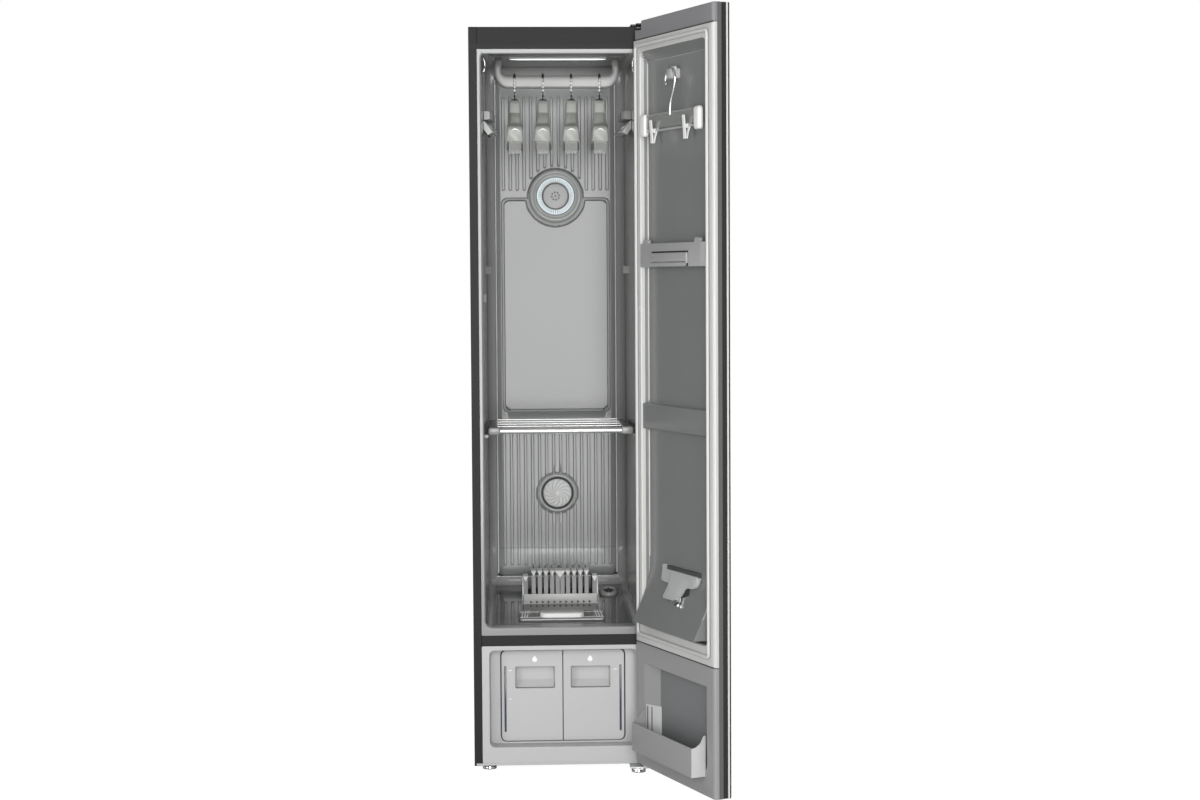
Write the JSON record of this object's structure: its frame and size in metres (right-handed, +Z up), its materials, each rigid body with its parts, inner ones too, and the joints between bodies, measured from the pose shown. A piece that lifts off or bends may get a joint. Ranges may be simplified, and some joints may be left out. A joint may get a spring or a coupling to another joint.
{
  "type": "clothes care steam cabinet",
  "caption": "Narrow free-standing steam cabinet for clothes, door standing open, with moving hanger bar, hangers, shelf, water tanks, filters and door fittings.",
  "frame": {"origin": "middle of the whole part's footprint on the floor, with the door standing open", "axes": "+Z up, +X to the right seen from the front, +Y from the front towards the back"},
  "size_m": [0.5982, 0.9632, 1.85],
  "materials": {
    "charcoal_steel": "fine textured powder coat, dark charcoal",
    "galvanised_sheet": "plain coated sheet",
    "liner_grey": "semi-gloss moulded liner",
    "rear_grey": "satin moulded panel",
    "pale_grey": "satin moulded plastic",
    "tank_grey": "satin moulded plastic",
    "lamp_white": "lit diffuser",
    "black_plastic": "matt black",
    "machine_steel": "black painted steel shell",
    "boiler_metal": "plain cast",
    "chrome": "polished",
    "bright_steel": "bright drawn tube",
    "hanger_grey": "glossy moulded plastic",
    "door_grey": "satin moulded plastic, mid grey",
    "door_liner_grey": "satin light rim, darker recess panel",
    "gasket": "soft seal",
    "pane_black": "black tinted glass"
  },
  "bodies": {
    "cabinet": {"side_panel_left": "charcoal_steel", "side_panel_right": "charcoal_steel", "top_cover": "charcoal_steel", "back_cover": "galvanised_sheet", "base_pan": "galvanised_sheet", "liner_body": "liner_grey", "rear_wall": "rear_grey", "air_duct": "tank_grey", "divider_rail": "charcoal_steel", "tank_bay": "tank_grey", "vent_bezel": "pale_grey", "vent_light_ring": "lamp_white", "vent_cap": "rear_grey", "steam_outlet_cap": "pale_grey", "ceiling_lamp": "lamp_white", "floor_nozzle": "pale_grey", "upper_wing_left": "pale_grey", "upper_wing_right": "pale_grey", "door_sensor": "pale_grey", "compressor": "machine_steel", "blower_housing": "black_plastic", "steam_generator": "boiler_metal", "hanger_motor": "boiler_metal", "hinge_top": "charcoal_steel", "hinge_bottom": "chrome"},
    "foot_1": {"foot_1": "chrome"},
    "foot_2": {"foot_2": "chrome"},
    "foot_3": {"foot_3": "chrome"},
    "foot_4": {"foot_4": "chrome"},
    "fan": {"fan_wheel": "black_plastic"},
    "hanger_bar": {"hanger_bar": "pale_grey"},
    "hanger_1": {"hanger_hook_1": "chrome", "hanger_body_1": "hanger_grey"},
    "hanger_2": {"hanger_hook_2": "chrome", "hanger_body_2": "hanger_grey"},
    "hanger_3": {"hanger_hook_3": "chrome", "hanger_body_3": "hanger_grey"},
    "hanger_4": {"hanger_hook_4": "chrome", "hanger_body_4": "hanger_grey"},
    "shelf": {"shelf_rack": "bright_steel", "shelf_rail_left": "pale_grey", "shelf_rail_right": "pale_grey"},
    "supply_tank": {"supply_tank": "tank_grey"},
    "drain_tank": {"drain_tank": "tank_grey"},
    "lint_filter": {"lint_filter": "pale_grey"},
    "aroma_tray": {"aroma_tray": "pale_grey"},
    "door": {"door_frame": "door_grey", "door_carrier": "black_plastic", "door_pane": "pane_black", "door_liner": "door_liner_grey", "door_gasket": "gasket", "press_bar": "door_grey", "hem_clip": "pale_grey"},
    "press_latch": {"press_latch": "door_grey"},
    "hem_spring": {"hem_spring": "chrome"},
    "trouser_hanger": {"trouser_hook": "chrome", "trouser_bar": "hanger_grey"},
    "clip_near": {"clip_near": "hanger_grey"},
    "clip_far": {"clip_far": "hanger_grey"},
    "door_pocket": {"door_pocket": "pale_grey"}
  },
  "joints": [
    {"name": "door_hinge", "type": "hinge", "parent": "cabinet", "child": "door", "pos_m": [0.12791, -0.07638, 0.94], "axis": [0, 0, 1], "range_deg": [-110.5, 3.5]},
    {"name": "foot_1_turn", "type": "hinge", "parent": "cabinet", "child": "foot_1", "pos_m": [-0.26159, -0.01238, 0.005], "axis": [0, 0, 1], "continuous": true},
    {"name": "foot_2_turn", "type": "hinge", "parent": "cabinet", "child": "foot_2", "pos_m": [0.10841, -0.01238, 0.005], "axis": [0, 0, 1], "continuous": true},
    {"name": "foot_3_turn", "type": "hinge", "parent": "cabinet", "child": "foot_3", "pos_m": [-0.26159, 0.43962, 0.005], "axis": [0, 0, 1], "continuous": true},
    {"name": "foot_4_turn", "type": "hinge", "parent": "cabinet", "child": "foot_4", "pos_m": [0.10841, 0.43962, 0.005], "axis": [0, 0, 1], "continuous": true},
    {"name": "fan_spin", "type": "hinge", "parent": "cabinet", "child": "fan", "pos_m": [0.00741, 0.39162, 0.165], "axis": [0, 1, 0], "continuous": true},
    {"name": "hanger_bar_shake", "type": "slide", "parent": "cabinet", "child": "hanger_bar", "axis": [1, 0, 0], "range_m": [-0.012, 0.012]},
    {"name": "hanger_1_swing", "type": "hinge", "parent": "hanger_bar", "child": "hanger_1", "pos_m": [-0.18459, 0.17162, 1.7353], "axis": [1, 0, 0], "range_deg": [-3, 3]},
    {"name": "hanger_2_swing", "type": "hinge", "parent": "hanger_bar", "child": "hanger_2", "pos_m": [-0.11259, 0.17162, 1.7353], "axis": [1, 0, 0], "range_deg": [-3, 3]},
    {"name": "hanger_3_swing", "type": "hinge", "parent": "hanger_bar", "child": "hanger_3", "pos_m": [-0.04059, 0.17162, 1.7353], "axis": [1, 0, 0], "range_deg": [-3, 3]},
    {"name": "hanger_4_swing", "type": "hinge", "parent": "hanger_bar", "child": "hanger_4", "pos_m": [0.03141, 0.17162, 1.7353], "axis": [1, 0, 0], "range_deg": [-3, 3]},
    {"name": "shelf_slide", "type": "slide", "parent": "cabinet", "child": "shelf", "axis": [0, -1, 0], "range_m": [0, 0.07]},
    {"name": "supply_tank_slide", "type": "slide", "parent": "cabinet", "child": "supply_tank", "axis": [0, -1, 0], "range_m": [0, 0.19]},
    {"name": "drain_tank_slide", "type": "slide", "parent": "cabinet", "child": "drain_tank", "axis": [0, -1, 0], "range_m": [0, 0.19]},
    {"name": "lint_filter_lift", "type": "slide", "parent": "cabinet", "child": "lint_filter", "axis": [0, 0, 1], "range_m": [0, 0.1]},
    {"name": "aroma_tray_lift", "type": "slide", "parent": "cabinet", "child": "aroma_tray", "axis": [0, 0, 1], "range_m": [0, 0.05]},
    {"name": "press_latch_flap", "type": "hinge", "parent": "door", "child": "press_latch", "pos_m": [0.18109, -0.27002, 1.257], "axis": [0.3502, -0.9367, 0], "range_deg": [0, 60], "stiffness_Nm_per_rad": 0.05},
    {"name": "hem_spring_pinch", "type": "hinge", "parent": "door", "child": "hem_spring", "pos_m": [0.19199, -0.28089, 0.5], "axis": [-0.3502, 0.9367, 0], "range_deg": [0, 35], "stiffness_Nm_per_rad": 0.3},
    {"name": "trouser_hanger_swing", "type": "hinge", "parent": "door", "child": "trouser_hanger", "pos_m": [0.19139, -0.27044, 1.7023], "axis": [-0.9367, -0.3502, 0], "range_deg": [-5, 5]},
    {"name": "clip_near_slide", "type": "slide", "parent": "trouser_hanger", "child": "clip_near", "axis": [-0.3502, 0.9367, 0], "range_m": [-0.02, 0.02]},
    {"name": "clip_far_slide", "type": "slide", "parent": "trouser_hanger", "child": "clip_far", "axis": [-0.3502, 0.9367, 0], "range_m": [-0.02, 0.02]},
    {"name": "door_pocket_lift", "type": "slide", "parent": "door", "child": "door_pocket", "axis": [0, 0, 1], "range_m": [0, 0.04]}
  ]
}
